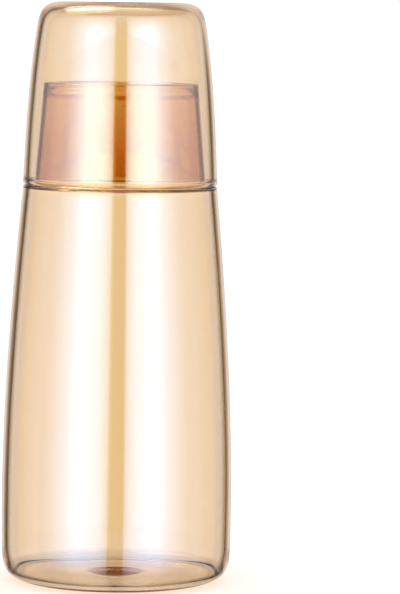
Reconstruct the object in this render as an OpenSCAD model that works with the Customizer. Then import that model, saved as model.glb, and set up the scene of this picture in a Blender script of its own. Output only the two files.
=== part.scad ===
// Glass bedside carafe with its drinking tumbler turned over on the neck.
// Millimetres, +Z up. The origin is the middle of the base, on the table.
// Both pieces are blown glass with thin walls, turned about the Z axis.

/* [Carafe body] */
// Height of the flat shoulder that the tumbler stands on
body_h = 168; // [130:1:220]
// Outer radius of the side at the heel, where it turns in to the base
heel_r = 48.65; // [44:0.05:58]
// Height of the heel
heel_h = 15.3; // [10:0.1:24]
// Lean of the side at the heel, outwards going up, in degrees
heel_lean = 1; // [0:0.1:3]
// Outer radius of the side at the shoulder
shoulder_r = 41; // [36:0.1:44]
// Lean of the side at the shoulder, inwards going up, in degrees
shoulder_lean = 5.4; // [2:0.1:8]
// Radius of the shoulder's rounded edge
shoulder_round = 1.2; // [1:0.1:2.2]
// Thickness of the shoulder
ledge_t = 1.2; // [1:0.1:2]
// Radius of the inner corner under the shoulder
ledge_round = 0.6; // [0.4:0.1:2]
// Thickness of the side
body_wall = 2.4; // [1.6:0.1:2.8]

/* [Carafe base] */
// How far the base ring's outer edge lies inside the heel
ring_inset = 13; // [9:0.1:18]
// Width of the flat base ring
ring_w = 5.6; // [3:0.1:10]
// Thickness of the floor
floor_t = 2.2; // [1.8:0.1:4]
// Width of the glass outside the floor's inner edge, level with the floor
floor_edge_w = 1.6; // [0.8:0.05:3]
// Lean of the inside at the floor, outwards going up, in degrees
inner_floor_lean = 32; // [20:1:60]
// Height where the inside turns straight up, as a share of the heel's height
inner_heel_share = 0.95; // [0.5:0.01:0.98]
// Rise of the shallow dish inside the base ring
dish_h = 0.3; // [0.2:0.1:1.5]
// Radius of the dome pushed up in the middle of the base
dome_r = 12.4; // [8:0.1:18]
// Rise of the dome above the dish
dome_h = 0.6; // [0.4:0.1:3]
// Radius of the glass nub left under the dome
nub_r = 6.2; // [3:0.1:7]
// Drop of the nub below the dome
nub_h = 0.8; // [0.4:0.1:1.6]

/* [Carafe neck] */
// Height of the neck above the shoulder
neck_h = 43; // [25:1:60]
// Lean of the neck, inwards going up, in degrees
neck_lean = 4.9; // [2:0.1:7]
// Thickness of the neck
neck_wall = 1.6; // [1.2:0.1:2]
// How far the rim's bead stands proud of the neck, inside and out
rim_proud = 0.15; // [0.1:0.05:0.4]
// Radius of the fillet where the neck meets the shoulder
neck_fillet = 0.8; // [0.6:0.1:2.4]

/* [Tumbler] */
// Free height between the neck's rim and the tumbler's closed end
head_room = 31.8; // [15:0.1:60]
// Thickness of the tumbler's closed end
end_t = 2.2; // [2:0.1:6]
// Thickness of the tumbler's wall
tumbler_wall = 2.2; // [1.4:0.1:2.4]
// Lean of the tumbler's wall at its lip, inwards going up, in degrees
lip_lean = 2.1; // [0:0.1:4]
// Lean of the tumbler's wall at its closed end, in degrees
end_lean = 8.3; // [4:0.1:12]
// How far the wall draws in from the lip to the rounded corner
taper = 4.85; // [2:0.05:6]
// Height of the rounded corner at the closed end
corner_h = 13.5; // [8:0.1:18]
// Width of the rounded corner
corner_w = 11.8; // [7:0.1:16]
// How far the lip's bead stands proud of the wall, inside and out
lip_proud = 0.15; // [0.1:0.05:0.5]

/* [Clearances] */
// Running gap between the lip's bead and the shoulder it stands on
seat_gap = 0.15; // [0.1:0.05:0.3]
// Gap all round between the neck and the lip's bead
neck_gap = 2.4; // [2.2:0.05:4.5]

/* [Hidden] */

// Facets of a full turn
$fn = 96;
// Steps along a long curve, a rounded corner and a small round
long_steps = 32;
corner_steps = 16;
round_steps = 8;

// Halvings that find where a curve reaches a height
search_steps = 16;

// Handles of the curves, each a share of the way to the curve's corner or of its height
heel_shares = [0.99, 0.556];
inner_heel_shares = [0.25, 0.45];
side_shares = [0.316, 0.39];
wall_shares = [0.315, 0.3];
corner_shares = [0.685, 0.99];

// Places of the carafe's outline
ring_r = heel_r - ring_inset;
dish_r = ring_r - ring_w;
side_top_h = body_h - shoulder_round * (1 - sin(shoulder_lean));
shoulder_mid = [shoulder_r - shoulder_round * cos(shoulder_lean), body_h - shoulder_round];

// The tumbler's lip stands on the shoulder's edge, flush with the side
lip_round = tumbler_wall / 2 + lip_proud;
lip_mid_r = shoulder_r - tumbler_wall / 2;
seat_reach = shoulder_round + lip_round + seat_gap;
seat_side = max(0, lip_mid_r - shoulder_mid[0]);
lip_mid = [lip_mid_r, shoulder_mid[1] + sqrt(pow(seat_reach, 2) - pow(seat_side, 2))];
lip_turn = acos(tumbler_wall / 2 / lip_round);

// The neck stands inside the lip with its gap
neck_r = lip_mid_r - lip_round - neck_gap;
neck_top_h = body_h + neck_h;
rim_round = neck_wall / 2 + rim_proud;
rim_turn = acos(neck_wall / 2 / rim_round);
rim_mid_h = neck_top_h - rim_round;
rim_mid = [neck_side(rim_mid_h) - neck_wall / 2 / cos(neck_lean), rim_mid_h];
fillet_mid_h = body_h + neck_fillet;
fillet_mid = [neck_side(fillet_mid_h) + neck_fillet / cos(neck_lean), fillet_mid_h];

// The tumbler's closed end, its foot when it stands upright, is the highest face
top_h = neck_top_h + head_room + end_t;
corner_r = shoulder_r - taper;
foot_r = corner_r - corner_w;

// Outer radius of the neck at a height
function neck_side(h) = neck_r - (h - body_h) * tan(neck_lean);

// Direction of a wall that leans in by an angle, going up, and the way out of it
function along(lean) = [-sin(lean), cos(lean)];
function outward(lean) = [cos(lean), sin(lean)];

// Point and direction of a curve guided by four points, at a share of its length
function curve_at(a, b, c, d, share) =
    pow(1 - share, 3) * a + 3 * pow(1 - share, 2) * share * b
    + 3 * (1 - share) * pow(share, 2) * c + pow(share, 3) * d;
function curve_way(a, b, c, d, share) =
    pow(1 - share, 2) * (b - a) + 2 * (1 - share) * share * (c - b) + pow(share, 2) * (d - c);

// Radius where a rising curve reaches a height, between two shares of it
function radius_at(guides, h, low, high, tries) =
    let (share = (low + high) / 2)
    let (point = curve_at(guides[0], guides[1], guides[2], guides[3], share))
    tries == 0 ? point[0]
    : point[1] < h ? radius_at(guides, h, share, high, tries - 1)
    : radius_at(guides, h, low, share, tries - 1);

// Points of that curve, moved to its right by an inset; the last point is left to what follows
function curve(guides, steps, inset = 0) = [
    for (step = [0:steps - 1])
        let (share = step / steps)
        let (way = curve_way(guides[0], guides[1], guides[2], guides[3], share))
        curve_at(guides[0], guides[1], guides[2], guides[3], share)
            - inset * [way[1], -way[0]] / norm(way)
];

// Guides of a rounded corner between two points, and of a wall between two leans
function corner_guides(a, corner, b, shares) =
    [a, a + shares[0] * (corner - a), b + shares[1] * (corner - b), b];
function wall_guides(a, lean_a, b, lean_b, shares) = [
    a,
    a + shares[0] * (b[1] - a[1]) * along(lean_a) / cos(lean_a),
    b - shares[1] * (b[1] - a[1]) * along(lean_b) / cos(lean_b),
    b
];

// Points of an arc from one angle to another, both ends included
function arc(mid, r, from, to, steps) = [
    for (step = [0:steps])
        let (angle = from + (to - from) * step / steps)
        mid + r * [cos(angle), sin(angle)]
];

function backwards(points) = [for (index = [len(points) - 1:-1:0]) points[index]];
function without_ends(points) = [for (index = [1:len(points) - 2]) points[index]];

// Rise of the dish and dome of the base, and drop of the nub, at a radius
function base_rise(r) =
    dish_h * (1 - pow(r / dish_r, 2)) + (r < dome_r ? dome_h * (1 - pow(r / dome_r, 2)) : 0);
function nub_drop(r) = r < nub_r ? nub_h * (1 + cos(180 * r / nub_r)) / 2 : 0;

// Radii from the axis to the dish's edge, with one at each edge of the nub and the dome
base_radii = [
    for (step = [0:round_steps - 1]) nub_r * step / round_steps,
    for (step = [0:round_steps - 1]) nub_r + (dome_r - nub_r) * step / round_steps,
    for (step = [0:round_steps]) dome_r + (dish_r - dome_r) * step / round_steps
];

// Outline of the carafe outside, from the axis under the base to the neck's rim
heel_guides = corner_guides(
    [ring_r, 0], [heel_r - heel_h * tan(heel_lean), 0], [heel_r, heel_h], heel_shares);
side_guides = wall_guides([heel_r, heel_h], -heel_lean, [shoulder_r, side_top_h], shoulder_lean, side_shares);
carafe_outside = concat(
    [for (r = base_radii) [r, base_rise(r) - nub_drop(r)]],
    curve(heel_guides, corner_steps),
    curve(side_guides, long_steps),
    arc(shoulder_mid, shoulder_round, shoulder_lean, 90, round_steps),
    arc(fillet_mid, neck_fillet, 270, 180 + neck_lean, round_steps),
    arc(rim_mid, rim_round, neck_lean - rim_turn, neck_lean + 180 + rim_turn, corner_steps)
);

// Outline of the carafe inside, from the axis on the floor to the foot of the neck
inner_side = [heel_r, heel_h] - body_wall * outward(-heel_lean);
inner_heel_h = heel_h * inner_heel_share;
inner_heel = [inner_side[0] - (inner_side[1] - inner_heel_h) * tan(heel_lean), inner_heel_h];
inner_floor_r = radius_at(heel_guides, floor_t, 0, 1, search_steps) - floor_edge_w;
under_h = body_h - ledge_t;
ledge_mid = [shoulder_r - body_wall - ledge_round, under_h - ledge_round];
ledge_start = ledge_mid + ledge_round * outward(shoulder_lean);
throat_round = neck_fillet + ledge_t;
throat_mid_h = under_h + throat_round;
throat_mid = [neck_side(throat_mid_h) + neck_fillet / cos(neck_lean), throat_mid_h];
carafe_inside = concat(
    [for (r = base_radii) [r, floor_t + base_rise(r)]],
    curve(wall_guides(
        [inner_floor_r, floor_t], -inner_floor_lean, inner_heel, -heel_lean, inner_heel_shares), corner_steps),
    [inner_heel],
    curve(wall_guides(inner_side, -heel_lean, ledge_start, shoulder_lean, side_shares), long_steps),
    arc(ledge_mid, ledge_round, shoulder_lean, 90, round_steps),
    arc(throat_mid, throat_round, 270, 180 + neck_lean, round_steps)
);

// Outline of the tumbler, outside and inside, each from the lip to the axis
wall_low = lip_mid + lip_round * outward(lip_lean + lip_turn);
wall_high = [corner_r, top_h - corner_h];
outer_guides = wall_guides(wall_low, lip_lean, wall_high, end_lean, wall_shares);
inner_high = wall_high - tumbler_wall * outward(end_lean);
ceiling_h = top_h - end_t;
tumbler_outside = concat(
    curve(outer_guides, long_steps),
    curve(corner_guides(
        wall_high, [corner_r - corner_h * tan(end_lean), top_h], [foot_r, top_h], corner_shares),
        corner_steps),
    [[foot_r, top_h], [0, top_h]]
);
tumbler_inside = concat(
    curve(outer_guides, long_steps, tumbler_wall),
    curve(corner_guides(
        inner_high, [inner_high[0] - (ceiling_h - inner_high[1]) * tan(end_lean), ceiling_h],
        [foot_r, ceiling_h], corner_shares), corner_steps),
    [[foot_r, ceiling_h], [0, ceiling_h]]
);
lip_under = arc(lip_mid, lip_round, lip_lean - 180 - lip_turn, lip_lean + lip_turn, corner_steps);

// The carafe: base, side, shoulder and neck in one blown piece
module carafe() {
    color([0.89, 0.7, 0.45])
        rotate_extrude()
            polygon(concat(carafe_outside, backwards(carafe_inside)));
}

// The tumbler, upside down over the neck
module tumbler() {
    color([0.92, 0.75, 0.52])
        rotate_extrude()
            polygon(concat(tumbler_outside, backwards(tumbler_inside), without_ends(lip_under)));
}

carafe();
tumbler();
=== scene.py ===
"""Amber glass bedside carafe with its tumbler turned over on the neck.

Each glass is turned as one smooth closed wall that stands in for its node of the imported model.
Sizes are in millimetres, as in the model's source, and become metres when a mesh is made.
"""
import math

import bpy
import numpy as np
from mathutils import Matrix, Vector


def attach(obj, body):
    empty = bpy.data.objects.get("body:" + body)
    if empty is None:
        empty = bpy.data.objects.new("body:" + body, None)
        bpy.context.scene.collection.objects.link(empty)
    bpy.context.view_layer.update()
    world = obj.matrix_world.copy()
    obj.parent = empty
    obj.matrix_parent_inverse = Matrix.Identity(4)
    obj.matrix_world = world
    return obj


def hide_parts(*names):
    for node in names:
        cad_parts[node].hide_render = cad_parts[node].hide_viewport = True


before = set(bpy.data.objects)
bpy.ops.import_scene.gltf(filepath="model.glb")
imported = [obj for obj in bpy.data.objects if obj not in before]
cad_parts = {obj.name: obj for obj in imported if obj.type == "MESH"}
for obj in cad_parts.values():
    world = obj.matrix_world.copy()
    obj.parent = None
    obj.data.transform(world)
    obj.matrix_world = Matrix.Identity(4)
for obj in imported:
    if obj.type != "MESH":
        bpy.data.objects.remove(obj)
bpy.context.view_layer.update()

METRE = 0.001

# Carafe: body, base and neck
BODY_H = 168.0
HEEL_R = 48.65
HEEL_H = 15.3
HEEL_LEAN = 1.0
SHOULDER_R = 41.0
SHOULDER_LEAN = 5.4
SHOULDER_ROUND = 1.2
LEDGE_T = 1.2
LEDGE_ROUND = 0.6
BODY_WALL = 2.4
RING_INSET = 13.0
RING_W = 5.6
FLOOR_T = 2.2
FLOOR_EDGE_W = 1.6
INNER_FLOOR_LEAN = 32.0
INNER_HEEL_SHARE = 0.95
DISH_H = 0.3
DOME_R = 12.4
DOME_H = 0.6
NUB_R = 6.2
NUB_H = 0.8
RINGS_H = 0.16
RINGS_W = 2.4
NECK_H = 43.0
NECK_LEAN = 4.9
NECK_WALL = 1.6
RIM_PROUD = 0.15
NECK_FILLET = 0.8

# Tumbler, and its clearances to the carafe
HEAD_ROOM = 31.8
END_T = 2.2
TUMBLER_WALL = 2.2
LIP_LEAN = 2.1
END_LEAN = 8.3
TAPER = 4.85
CORNER_H = 13.5
CORNER_W = 11.8
LIP_PROUD = 0.15
SEAT_GAP = 0.15
NECK_GAP = 2.4

# Handles of the curves, each a share of the way to the curve's corner or of its height
HEEL_SHARES = (0.99, 0.556)
INNER_HEEL_SHARES = (0.25, 0.45)
SIDE_SHARES = (0.316, 0.39)
WALL_SHARES = (0.315, 0.3)
CORNER_SHARES = (0.685, 0.99)

# Width over which the crease between floor and side is rounded
CREASE = 0.2

# Power by which the pressed rings fade at the dome's edge
RINGS_FADE = 8

# Fineness of the turned meshes, and of the curve that the floor's edge is read from
TURN_STEPS = 192
LONG_STEPS = 48
CORNER_STEPS = 36
ROUND_STEPS = 18
FLAT_STEPS = 8
SHORT_STEPS = 3
FINE_STEPS = 400


def sin(degrees):
    return math.sin(math.radians(degrees))


def cos(degrees):
    return math.cos(math.radians(degrees))


def tan(degrees):
    return math.tan(math.radians(degrees))


def along(lean):
    """Direction of a wall that leans in by an angle, going up."""
    return np.array([-sin(lean), cos(lean)])


def outward(lean):
    """Direction out of that wall."""
    return np.array([cos(lean), sin(lean)])


def curve(guides, steps, inset=0.0):
    """Points of a curve guided by four points, moved to its left by an inset, without the last one."""
    a, b, c, d = (np.array(g, float) for g in guides)
    share = (np.arange(steps) / steps)[:, None]
    rest = 1 - share
    points = rest ** 3 * a + 3 * rest ** 2 * share * b + 3 * rest * share ** 2 * c + share ** 3 * d
    way = rest ** 2 * (b - a) + 2 * rest * share * (c - b) + share ** 2 * (d - c)
    side = np.stack([way[:, 1], -way[:, 0]], 1) / np.linalg.norm(way, axis=1)[:, None]
    return points - inset * side


def corner_guides(a, corner, b, shares):
    """Guides of a curve that rounds a corner between two points."""
    a, corner, b = (np.array(p, float) for p in (a, corner, b))
    return a, a + shares[0] * (corner - a), b + shares[1] * (corner - b), b


def wall_guides(a, lean_a, b, lean_b, shares):
    """Guides of a wall's curve that leans in by one angle at its foot and by another at its top."""
    a, b = np.array(a, float), np.array(b, float)
    rise = b[1] - a[1]
    return (a, a + shares[0] * rise * along(lean_a) / cos(lean_a),
            b - shares[1] * rise * along(lean_b) / cos(lean_b), b)


def arc(mid, r, start, end, steps):
    """Points of an arc from one angle to another, both ends included."""
    turn = np.radians(np.linspace(start, end, steps + 1))
    return np.array(mid) + r * np.stack([np.cos(turn), np.sin(turn)], 1)


def line(a, b, steps):
    """Points strictly between two points."""
    share = (np.arange(1, steps) / steps)[:, None]
    return np.array(a, float) * (1 - share) + np.array(b, float) * share


# Places worked out from the sizes
RING_R = HEEL_R - RING_INSET
DISH_R = RING_R - RING_W
SIDE_TOP_H = BODY_H - SHOULDER_ROUND * (1 - sin(SHOULDER_LEAN))
SHOULDER_MID = np.array([SHOULDER_R - SHOULDER_ROUND * cos(SHOULDER_LEAN), BODY_H - SHOULDER_ROUND])
LIP_ROUND = TUMBLER_WALL / 2 + LIP_PROUD
LIP_MID_R = SHOULDER_R - TUMBLER_WALL / 2
SEAT_REACH = SHOULDER_ROUND + LIP_ROUND + SEAT_GAP
SEAT_SIDE = LIP_MID_R - SHOULDER_MID[0]
LIP_MID = np.array([LIP_MID_R, SHOULDER_MID[1] + math.sqrt(SEAT_REACH ** 2 - SEAT_SIDE ** 2)])
LIP_TURN = math.degrees(math.acos(TUMBLER_WALL / 2 / LIP_ROUND))
NECK_R = LIP_MID_R - LIP_ROUND - NECK_GAP
NECK_TOP_H = BODY_H + NECK_H
TOP_H = NECK_TOP_H + HEAD_ROOM + END_T

# The floor meets the side inside the heel's curve
HEEL_GUIDES = corner_guides((RING_R, 0), (HEEL_R - HEEL_H * tan(HEEL_LEAN), 0), (HEEL_R, HEEL_H), HEEL_SHARES)
HEEL_CURVE = curve(HEEL_GUIDES, FINE_STEPS)
INNER_FLOOR_R = float(np.interp(FLOOR_T, HEEL_CURVE[:, 1], HEEL_CURVE[:, 0])) - FLOOR_EDGE_W


def neck_side(h):
    """Outer radius of the neck at a height."""
    return NECK_R - (h - BODY_H) * tan(NECK_LEAN)


def base_rise(r):
    """Rise of the dish and dome of the base at a radius."""
    return DISH_H * (1 - (r / DISH_R) ** 2) + np.where(r < DOME_R, DOME_H * (1 - (r / DOME_R) ** 2), 0)


def rings(r):
    """Rise of the pressed rings on the dome's upper side at a radius."""
    fade = 1 - (r / DOME_R) ** RINGS_FADE
    return np.where(r < DOME_R, RINGS_H * np.sin(2 * np.pi * r / RINGS_W) * fade, 0)


def nub_drop(r):
    """Drop of the nub under the dome at a radius."""
    return np.where(r < NUB_R, NUB_H * (1 + np.cos(np.pi * r / NUB_R)) / 2, 0)


def carafe_profile():
    """Points (radius, height) from the axis under the base, over the rim and down to the axis on the floor,
    and which of them are outside."""
    rim_round = NECK_WALL / 2 + RIM_PROUD
    rim_turn = math.degrees(math.acos(NECK_WALL / 2 / rim_round))
    rim_h = NECK_TOP_H - rim_round
    rim_mid = np.array([neck_side(rim_h) - NECK_WALL / 2 / cos(NECK_LEAN), rim_h])
    fillet_h = BODY_H + NECK_FILLET
    fillet_mid = np.array([neck_side(fillet_h) + NECK_FILLET / cos(NECK_LEAN), fillet_h])
    inner_side = np.array([HEEL_R, HEEL_H]) - BODY_WALL * outward(-HEEL_LEAN)
    inner_heel_h = HEEL_H * INNER_HEEL_SHARE
    inner_heel = np.array([inner_side[0] - (inner_side[1] - inner_heel_h) * tan(HEEL_LEAN), inner_heel_h])
    under_h = BODY_H - LEDGE_T
    ledge_mid = np.array([SHOULDER_R - BODY_WALL - LEDGE_ROUND, under_h - LEDGE_ROUND])
    throat_round = NECK_FILLET + LEDGE_T
    throat_mid_h = under_h + throat_round
    throat_mid = np.array([neck_side(throat_mid_h) + NECK_FILLET / cos(NECK_LEAN), throat_mid_h])
    radii = np.concatenate([
        np.linspace(0, NUB_R, CORNER_STEPS, endpoint=False),
        np.linspace(NUB_R, DOME_R, CORNER_STEPS, endpoint=False),
        np.linspace(DOME_R, DISH_R, ROUND_STEPS + 1),
    ])
    shoulder = arc(SHOULDER_MID, SHOULDER_ROUND, SHOULDER_LEAN, 90, ROUND_STEPS)
    fillet = arc(fillet_mid, NECK_FILLET, 270, 180 + NECK_LEAN, ROUND_STEPS)
    rim = arc(rim_mid, rim_round, NECK_LEAN - rim_turn, NECK_LEAN + 180 + rim_turn, CORNER_STEPS)
    outside = np.concatenate([
        np.stack([radii, base_rise(radii) - nub_drop(radii)], 1),
        line((DISH_R, 0), (RING_R, 0), FLAT_STEPS),
        curve(HEEL_GUIDES, CORNER_STEPS),
        curve(wall_guides((HEEL_R, HEEL_H), -HEEL_LEAN, (SHOULDER_R, SIDE_TOP_H), SHOULDER_LEAN, SIDE_SHARES),
              LONG_STEPS),
        shoulder,
        line(shoulder[-1], fillet[0], SHORT_STEPS),
        fillet,
        line(fillet[-1], rim[0], FLAT_STEPS),
        rim,
    ])
    floor_edge = (INNER_FLOOR_R, FLOOR_T)
    inner_guides = wall_guides(floor_edge, -INNER_FLOOR_LEAN, inner_heel, -HEEL_LEAN, INNER_HEEL_SHARES)
    ledge_start = ledge_mid + LEDGE_ROUND * outward(SHOULDER_LEAN)
    inside = np.concatenate([
        np.stack([radii, FLOOR_T + base_rise(radii) + rings(radii)], 1),
        line((DISH_R, FLOOR_T), floor_edge, FLAT_STEPS),
        [(INNER_FLOOR_R - CREASE, FLOOR_T)],
        curve(inner_guides, CORNER_STEPS),
        [inner_heel],
        line(inner_heel, inner_side, FLAT_STEPS),
        curve(wall_guides(inner_side, -HEEL_LEAN, ledge_start, SHOULDER_LEAN, SIDE_SHARES), LONG_STEPS),
        arc(ledge_mid, LEDGE_ROUND, SHOULDER_LEAN, 90, ROUND_STEPS),
        arc(throat_mid, throat_round, 270, 180 + NECK_LEAN, ROUND_STEPS),
        line(throat_mid + throat_round * outward(180 + NECK_LEAN), rim[-1], FLAT_STEPS),
    ])
    return np.concatenate([outside, inside[::-1]]), (0, len(outside))


def tumbler_profile():
    """Points (radius, height) from the axis under the closed end, round the lip and up to the axis on that
    end, and which of them are outside."""
    corner_r = SHOULDER_R - TAPER
    foot_r = corner_r - CORNER_W
    wall_low = LIP_MID + LIP_ROUND * outward(LIP_LEAN + LIP_TURN)
    wall_high = np.array([corner_r, TOP_H - CORNER_H])
    guides = wall_guides(wall_low, LIP_LEAN, wall_high, END_LEAN, WALL_SHARES)
    inner_high = wall_high - TUMBLER_WALL * outward(END_LEAN)
    ceiling_h = TOP_H - END_T
    corner = (corner_r - CORNER_H * tan(END_LEAN), TOP_H)
    inner_corner = (inner_high[0] - (ceiling_h - inner_high[1]) * tan(END_LEAN), ceiling_h)
    outside = np.concatenate([
        curve(guides, LONG_STEPS),
        curve(corner_guides(wall_high, corner, (foot_r, TOP_H), CORNER_SHARES), CORNER_STEPS),
        [(foot_r, TOP_H)],
        line((foot_r, TOP_H), (0, TOP_H), FLAT_STEPS),
        [(0, TOP_H)],
    ])
    inside = np.concatenate([
        curve(guides, LONG_STEPS, TUMBLER_WALL),
        curve(corner_guides(inner_high, inner_corner, (foot_r, ceiling_h), CORNER_SHARES), CORNER_STEPS),
        [(foot_r, ceiling_h)],
        line((foot_r, ceiling_h), (0, ceiling_h), FLAT_STEPS),
        [(0, ceiling_h)],
    ])
    lip = arc(LIP_MID, LIP_ROUND, LIP_LEAN - 180 - LIP_TURN, LIP_LEAN + LIP_TURN, CORNER_STEPS)
    profile = np.concatenate([inside[::-1], lip[1:-1], outside])
    return profile, (len(inside), len(inside) + len(lip) + len(outside))


def turned(name, profile, coated):
    """A closed mesh turned about the Z axis from a profile that starts and ends on it. Its attribute "coated"
    is 1 on the faces between the two coated points of the profile and 0 on the others."""
    loops = profile[1:-1]
    count = len(loops)
    turn = np.arange(TURN_STEPS) * 2 * math.pi / TURN_STEPS
    points = np.empty((count, TURN_STEPS, 3))
    points[..., 0] = loops[:, :1] * np.cos(turn)
    points[..., 1] = loops[:, :1] * np.sin(turn)
    points[..., 2] = loops[:, 1:]
    first, last = count * TURN_STEPS, count * TURN_STEPS + 1
    poles = [(0, 0, profile[0][1]), (0, 0, profile[-1][1])]
    vertices = np.concatenate([points.reshape(-1, 3), poles]) * METRE
    here = np.arange(TURN_STEPS)
    after = (here + 1) % TURN_STEPS
    faces = []
    for loop in range(count - 1):
        low, high = loop * TURN_STEPS, (loop + 1) * TURN_STEPS
        faces += np.stack([low + here, low + after, high + after, high + here], 1).tolist()
    end = (count - 1) * TURN_STEPS
    faces += [[first, b, a] for a, b in zip(here.tolist(), after.tolist())]
    faces += [[last, end + a, end + b] for a, b in zip(here.tolist(), after.tolist())]
    mesh = bpy.data.meshes.new(name)
    mesh.from_pydata(vertices.tolist(), [], faces)
    mesh.polygons.foreach_set("use_smooth", np.ones(len(mesh.polygons), bool))
    between = np.repeat(np.arange(1, count), TURN_STEPS)
    at_poles = np.repeat([0, count], TURN_STEPS)
    point_of_face = np.concatenate([between, at_poles])
    outer = (point_of_face >= coated[0]) & (point_of_face < coated[1])
    mesh.attributes.new("coated", "FLOAT", "FACE").data.foreach_set("value", outer.astype(np.float32))
    mesh.update()
    piece = bpy.data.objects.new(name, mesh)
    bpy.context.scene.collection.objects.link(piece)
    return piece


# Finish
def node(tree, kind, **inputs):
    """A node of a tree with its numbered or named inputs set to values or linked to sockets."""
    made = tree.nodes.new(kind)
    for key, value in inputs.items():
        socket = made.inputs[int(key[1:])] if key[1:].isdigit() else made.inputs[key.replace("_", " ")]
        if isinstance(value, bpy.types.NodeSocket):
            tree.links.new(value, socket)
        else:
            socket.default_value = value
    return made


def sum_of(tree, operation, a, b=0.0, c=0.0):
    """The result of one math node."""
    made = node(tree, "ShaderNodeMath", _0=a, _1=b, _2=c)
    made.operation = operation
    return made.outputs[0]


def blended(tree, share, a, b):
    """A value that goes from a to b as a share goes from 0 to 1."""
    made = node(tree, "ShaderNodeMix", Factor=share, A=a, B=b)
    return made.outputs["Result"]


def blended_colour(tree, share, a, b):
    """A colour that goes from a to b as a share goes from 0 to 1. Each is three numbers or a socket."""
    made = tree.nodes.new("ShaderNodeMix")
    made.data_type = "RGBA"
    for key, value in (("Factor_Float", share), ("A_Color", a), ("B_Color", b)):
        socket = next(s for s in made.inputs if s.identifier == key)
        if isinstance(value, bpy.types.NodeSocket):
            tree.links.new(value, socket)
        else:
            socket.default_value = (*value, 1)
    return next(s for s in made.outputs if s.identifier == "Result_Color")


def smooth_step(tree, value, low, high):
    """0 below one value, 1 above another and a soft step between."""
    made = node(tree, "ShaderNodeMapRange", Value=value, From_Min=low, From_Max=high)
    made.interpolation_type = "SMOOTHSTEP"
    return made.outputs[0]


GLASS_IOR = 1.5

# Lustre coats: what one crossing of the outer surface lets through, and how strongly it mirrors beside bare
# glass. The coat is thin on the rounded ends, pale at the seam, and dense on the neck. Browner bands are
# painted shade: on the closed end's flat top, at the heel's foot, and on the shoulder's edge under the lip
COAT = ((0.935, 0.906, 0.764), (0.7, 2.4, 5.2))
THIN_COAT = ((0.93, 0.88, 0.77), (1.2, 1.1, 1.0))
# Painted shade: a browner flat top on the closed end, so its outline stays dark against white reflections
END_SHADE_COAT = ((0.82, 0.68, 0.48), (0.8, 0.7, 0.6))
SEAM_COAT = ((0.97, 0.94, 0.9), (1.6, 1.4, 1.2))
# Painted shade: a dark brown band on the shoulder's edge, for the shade in the notch under the tumbler's lip
SEAM_SHADE_COAT = ((0.52, 0.43, 0.36), (1.2, 1.1, 1.0))
# Painted shade: a brown band at the heel's foot that draws a dark line along the base's bottom edge
HEEL_SHADE_COAT = ((0.75, 0.69, 0.6), (1.2, 1.1, 1.0))
NECK_ROOT = ((0.87, 0.595, 0.125), (3.8, 7.8, 7.0))
NECK_RIM = ((0.955, 0.858, 0.52), (2.8, 6.3, 6.3))

# Heights at which each coat or band of painted shade is reached, from the lowest up
CARAFE_COATS_AND_SHADE = [
    (1.2, THIN_COAT),
    # Painted shade at the heel's foot
    (2.2, HEEL_SHADE_COAT),
    (4.0, HEEL_SHADE_COAT),
    (6.5, THIN_COAT),
    (HEEL_H * 1.2, COAT),
    (BODY_H - 4.0, COAT),
    (BODY_H - 1.9, SEAM_COAT),
    # Painted shade of the notch under the tumbler's lip, in a band on the shoulder's edge
    (BODY_H - 0.9, SEAM_SHADE_COAT),
    (BODY_H - 0.2, SEAM_SHADE_COAT),
    (BODY_H - 0.02, SEAM_COAT),
    (BODY_H + 1.4, SEAM_COAT),
    (BODY_H + 2.2, NECK_ROOT),
    (NECK_TOP_H, NECK_RIM),
]
TUMBLER_COATS_AND_SHADE = [
    (BODY_H + 1.5, SEAM_COAT),
    (BODY_H + 4.0, COAT),
    (TOP_H - CORNER_H, COAT),
    (TOP_H - 3.0, THIN_COAT),
    (TOP_H - 0.5, THIN_COAT),
    # Painted shade on the closed end's flat top
    (TOP_H - 0.05, END_SHADE_COAT),
]

# Share of light that one wall's thickness of the tinted glass lets through, and the share that a face lets
# through to light the floor
WALL_PASS = (0.995, 0.907, 0.835)
SHADOW_PASS = (0.99, 0.985, 0.975)

# Unevenness of blown glass: grains per metre along X, Y and Z of the coat's streaks, and of the faint waves
STREAK_SCALE = (420, 420, 9)
STREAK_TINT = (0.975, 0.95, 0.92)
WAVE_SCALE = (60, 60, 14)
WAVES_H = 0.05

# Painted shade on the floor's upper side by radius: the table in the base's shade, seen through its middle,
# and a dark line in the crease where it meets the side; and the two heights between which it ends
FLOOR_SHADE_PASS = [
    (DISH_R - 8.0, (0.78, 0.74, 0.76)),
    (INNER_FLOOR_R - 1.0, (1, 1, 1)),
    (INNER_FLOOR_R, (0.9, 0.86, 0.82)),
]
FLOOR_SHADE_END = (FLOOR_T + 0.4, FLOOR_T + 0.8)

# Painted shade in the dome's glass, for the table in the base's shade seen through it, and the width over
# which it fades at the dome's edge
DOME_SHADE_PASS = (0.6, 0.48, 0.3)
DOME_SHADE_FADE = 3.0


def by_size(tree, value, stops):
    """A colour that blends through stops (size in millimetres, colour) as a value in metres grows."""
    colour = stops[0][1]
    for (low, _), (high, following) in zip(stops, stops[1:]):
        climb = smooth_step(tree, value, low * METRE, high * METRE)
        colour = blended_colour(tree, climb, colour, following)
    return colour


def squared(passed):
    """The base colour of a face that lets through a share of the light: the shader takes its square root."""
    return [share * share for share in passed]


def noise(tree, place, scale):
    """Soft noise whose grains are as long along each axis as the scale's number is small."""
    stretched = node(tree, "ShaderNodeVectorMath", _0=place, _1=scale)
    stretched.operation = "MULTIPLY"
    made = node(tree, "ShaderNodeTexNoise", Vector=stretched.outputs["Vector"], Scale=1.0, Detail=2.0)
    return made.outputs["Fac"]


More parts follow.
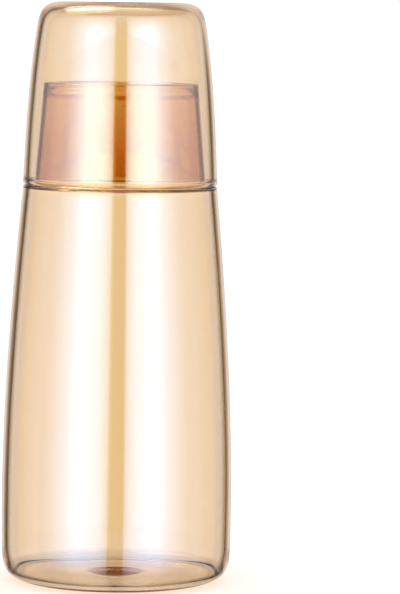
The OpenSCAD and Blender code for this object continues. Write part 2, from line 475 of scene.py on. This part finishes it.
def glass(name, stops):
    """Tinted clear glass with a lustre coat by height on its outer faces and painted shade on the floor,
    dome and some coat bands. Light for the floor passes it.
    """
    material = bpy.data.materials.new(name)
    material.use_nodes = True
    tree = material.node_tree
    shader = tree.nodes["Principled BSDF"]
    shader.inputs["Roughness"].default_value = 0.0
    shader.inputs["IOR"].default_value = GLASS_IOR
    shader.inputs["Transmission Weight"].default_value = 1.0
    place = node(tree, "ShaderNodeTexCoord").outputs["Object"]
    streaks = noise(tree, place, STREAK_SCALE)
    waves = noise(tree, place, WAVE_SCALE)
    uneven = node(tree, "ShaderNodeBump", Strength=1.0, Distance=WAVES_H * METRE, Height=waves)
    tree.links.new(uneven.outputs["Normal"], shader.inputs["Normal"])
    height = node(tree, "ShaderNodeSeparateXYZ", Vector=place).outputs["Z"]
    face = tree.nodes.new("ShaderNodeAttribute")
    face.attribute_name = "coated"
    coated = face.outputs["Fac"]
    tint = by_size(tree, height, [(h, squared(passed)) for h, (passed, _) in stops])
    mirror = by_size(tree, height, [(h, mirrored) for h, (_, mirrored) in stops])
    flat = node(tree, "ShaderNodeVectorMath", _0=place, _1=(1, 1, 0))
    flat.operation = "MULTIPLY"
    length = node(tree, "ShaderNodeVectorMath", _0=flat.outputs["Vector"])
    length.operation = "LENGTH"
    radius = length.outputs["Value"]
    off_dome_shade = smooth_step(tree, radius, (DOME_R - DOME_SHADE_FADE) * METRE, DOME_R * METRE)
    # Painted shade on the floor's upper side, by radius, below two heights
    above = smooth_step(tree, height, *(h * METRE for h in FLOOR_SHADE_END))
    floor_shade_tint = by_size(tree, radius, [(r, squared(passed)) for r, passed in FLOOR_SHADE_PASS])
    bare = blended_colour(tree, above, floor_shade_tint, (1, 1, 1))
    browner = node(tree, "ShaderNodeVectorMath", _0=tint, _1=STREAK_TINT)
    browner.operation = "MULTIPLY"
    streaked = blended_colour(tree, streaks, tint, browner.outputs["Vector"])
    colour = blended_colour(tree, coated, bare, streaked)
    # Painted shade of the dome: brown glass inside the dome's radius and below half the heel's height
    side = sum_of(tree, "MAXIMUM", off_dome_shade, smooth_step(tree, height, HEEL_H / 2 * METRE, HEEL_H * METRE))
    base_colour = blended_colour(tree, side, squared(DOME_SHADE_PASS), colour)
    tree.links.new(base_colour, shader.inputs["Base Color"])
    mirror_tint = blended_colour(tree, coated, (1, 1, 1), mirror)
    tree.links.new(mirror_tint, shader.inputs["Specular Tint"])
    path = node(tree, "ShaderNodeLightPath").outputs
    passing = sum_of(tree, "MAXIMUM", path["Is Shadow Ray"], path["Is Diffuse Ray"])
    clear = node(tree, "ShaderNodeBsdfTransparent", Color=(*SHADOW_PASS, 1))
    mix = node(tree, "ShaderNodeMixShader", _0=passing, _1=shader.outputs[0], _2=clear.outputs[0])
    end = tree.nodes["Material Output"]
    tree.links.new(mix.outputs[0], end.inputs["Surface"])
    depth = [-math.log(share) / (BODY_WALL * METRE) for share in WALL_PASS]
    dense = max(depth)
    body = node(tree, "ShaderNodeVolumeAbsorption", Color=(*(1 - d / dense for d in depth), 1), Density=dense)
    tree.links.new(body.outputs[0], end.inputs["Volume"])
    return material


def dress(piece, material, body):
    """Gives a turned piece its glass, and rides it on its body in place of the CAD node."""
    piece.data.materials.append(material)
    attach(piece, body)
    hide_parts(body)


carafe_outline, carafe_coated = carafe_profile()
carafe = turned("carafe_glass", carafe_outline, carafe_coated)
dress(carafe, glass("lustre_carafe", CARAFE_COATS_AND_SHADE), "carafe")
tumbler_outline, tumbler_coated = tumbler_profile()
tumbler = turned("tumbler_glass", tumbler_outline, tumbler_coated)
dress(tumbler, glass("lustre_tumbler", TUMBLER_COATS_AND_SHADE), "tumbler")

# Lights of the studio, alike on both sides of a gap's middle: degrees from it round the object where each
# starts, is full, begins to fade and ends, and its brightness. The middle is counted from the camera's side
FILL = ((7.0, 9.0, 129, 140), 0.62)
SIDE = ((7.0, 9.0, 85, 108), 0.34)
KEY = ((4.5, 21, 42, 82), 1.5)
HEART = ((20, 34, 42, 56), 0.5)
BACK = ((149, 160, 400, 500), 0.72)
EDGE = ((110, 125, 400, 500), 0.115)
GAP_MIDDLE = -1.2

# One more light at the back on the right, from just over the table up
RIGHT = ((126, 136, 150, 160), 0.45)
RIGHT_START = (1, 6)

# The lights end at a height in degrees, and a ceiling and one softbox, above the left, follow over a dim slot
WALLS_END = (26, 38)
SLOT = 0.4
CEILING_START = (50, 66)
CEILING = 1.3
TOP_LIGHT_WAY = (-0.45, 0.13, 0.883)
TOP_LIGHT_EDGE = (0.9, 0.95)
TOP_LIGHT = 6.0

# White backdrop as the camera sees it, as the glass shows it, and as it lights the floor
GROUND = 1.05
BACKDROP = 1.08
SURROUND = 1.25

# Below the backdrop the table in the base's shade shows through the glass
TABLE_EDGE = (-30, -15)
TABLE = 0.85


def panel(tree, azimuth, light):
    """Brightness of one light of the studio by direction."""
    (start, full, fade, end), bright = light
    rise = smooth_step(tree, azimuth, start, full)
    fall = smooth_step(tree, azimuth, end, fade)
    return sum_of(tree, "MULTIPLY", sum_of(tree, "MULTIPLY", rise, fall), bright)


def studio():
    """A white backdrop seen through the glass, and soft side lights mirrored in it."""
    world = bpy.data.worlds.new("studio")
    bpy.context.scene.world = world
    world.use_nodes = True
    tree = world.node_tree
    direction = node(tree, "ShaderNodeTexCoord").outputs["Generated"]
    way = node(tree, "ShaderNodeSeparateXYZ", Vector=direction).outputs
    front = sum_of(tree, "MULTIPLY", way["Y"], -1.0)
    azimuth = sum_of(tree, "MULTIPLY", sum_of(tree, "ARCTAN2", way["X"], front), 180 / math.pi)
    height = sum_of(tree, "MULTIPLY", sum_of(tree, "ARCSINE", way["Z"]), 180 / math.pi)
    off = sum_of(tree, "ABSOLUTE", sum_of(tree, "SUBTRACT", azimuth, GAP_MIDDLE))
    mirrored = 0.0
    for light in (FILL, SIDE, KEY, HEART, EDGE, BACK):
        mirrored = sum_of(tree, "ADD", mirrored, panel(tree, off, light))
    right = sum_of(tree, "MULTIPLY", panel(tree, azimuth, RIGHT), smooth_step(tree, height, *RIGHT_START))
    mirrored = sum_of(tree, "ADD", mirrored, right)
    over_table = smooth_step(tree, height, *TABLE_EDGE)
    mirrored = sum_of(tree, "MULTIPLY", mirrored, blended(tree, over_table, TABLE / 2, 1.0))
    mirrored = blended(tree, smooth_step(tree, height, *WALLS_END), mirrored, SLOT)
    ceiling = blended(tree, smooth_step(tree, height, *CEILING_START), 0.0, CEILING)
    mirrored = sum_of(tree, "ADD", mirrored, ceiling)
    towards = node(tree, "ShaderNodeVectorMath", _0=direction, _1=TOP_LIGHT_WAY)
    towards.operation = "DOT_PRODUCT"
    near = smooth_step(tree, towards.outputs["Value"], *TOP_LIGHT_EDGE)
    mirrored = sum_of(tree, "MULTIPLY_ADD", near, TOP_LIGHT, mirrored)
    path = node(tree, "ShaderNodeLightPath").outputs
    through = sum_of(tree, "GREATER_THAN", path["Transmission Depth"], 0.5)
    bounced = sum_of(tree, "GREATER_THAN", path["Glossy Depth"], 0.5)
    backdrop = blended(tree, over_table, TABLE, BACKDROP)
    level = blended(tree, through, SURROUND, backdrop)
    level = blended(tree, bounced, level, mirrored)
    level = blended(tree, path["Is Camera Ray"], level, GROUND)
    tree.links.new(level, tree.nodes["Background"].inputs["Color"])


studio()

# Pale disc that the glass stands on: metres, and its share of white
FLOOR_R = 0.6
FLOOR_DROP = 0.0002
FLOOR_STEPS = 128
FLOOR_WHITE = 0.92


def floor():
    """The disc. The glass itself shows the studio and not this disc."""
    bpy.ops.mesh.primitive_circle_add(
        vertices=FLOOR_STEPS, radius=FLOOR_R, fill_type="NGON", location=(0, 0, -FLOOR_DROP))
    disc = bpy.context.object
    disc.name = "floor"
    material = bpy.data.materials.new("floor_white")
    material.use_nodes = True
    shader = material.node_tree.nodes["Principled BSDF"]
    shader.inputs["Base Color"].default_value = (FLOOR_WHITE, FLOOR_WHITE, FLOOR_WHITE, 1)
    shader.inputs["Roughness"].default_value = 1.0
    shader.inputs["Specular IOR Level"].default_value = 0.0
    disc.data.materials.append(material)
    disc.visible_glossy = False
    disc.visible_transmission = False


floor()

# Camera, at the photograph's place: metres from the middle of the base, its roll in degrees, and its lens and
# sensor in millimetres
CAMERA_EYE = Vector((0.0, -1.5, 0.241))
CAMERA_AIM = Vector((0.0344, 0.0, 0.12081))
CAMERA_ROLL = 0.774
CAMERA_LENS = 215.12
CAMERA_SENSOR = 36.0
CAMERA_CLIP = (0.05, 50)


def camera():
    """A camera that looks from its eye to its aim, rolled about that line."""
    data = bpy.data.cameras.new("camera")
    data.lens = CAMERA_LENS
    data.sensor_width = CAMERA_SENSOR
    data.clip_start, data.clip_end = CAMERA_CLIP
    forward = (CAMERA_AIM - CAMERA_EYE).normalized()
    right = forward.cross(Vector((0, 0, 1))).normalized()
    up = right.cross(forward)
    x = right * cos(CAMERA_ROLL) + up * sin(CAMERA_ROLL)
    y = up * cos(CAMERA_ROLL) - right * sin(CAMERA_ROLL)
    turn = Matrix((x, y, -forward)).transposed()
    piece = bpy.data.objects.new("camera", data)
    piece.matrix_world = Matrix.Translation(CAMERA_EYE) @ turn.to_4x4()
    bpy.context.scene.collection.objects.link(piece)
    bpy.context.scene.camera = piece


camera()

# Light passes many glass faces, and the photograph's edges are slightly soft
GLASS_BOUNCES = 32
MIRROR_BOUNCES = 24
PIXEL_BLUR = 1.4

scene = bpy.context.scene
scene.view_settings.view_transform = "Standard"
scene.cycles.use_denoising = True
scene.cycles.filter_width = PIXEL_BLUR
scene.cycles.max_bounces = GLASS_BOUNCES
scene.cycles.transmission_bounces = GLASS_BOUNCES
scene.cycles.glossy_bounces = MIRROR_BOUNCES
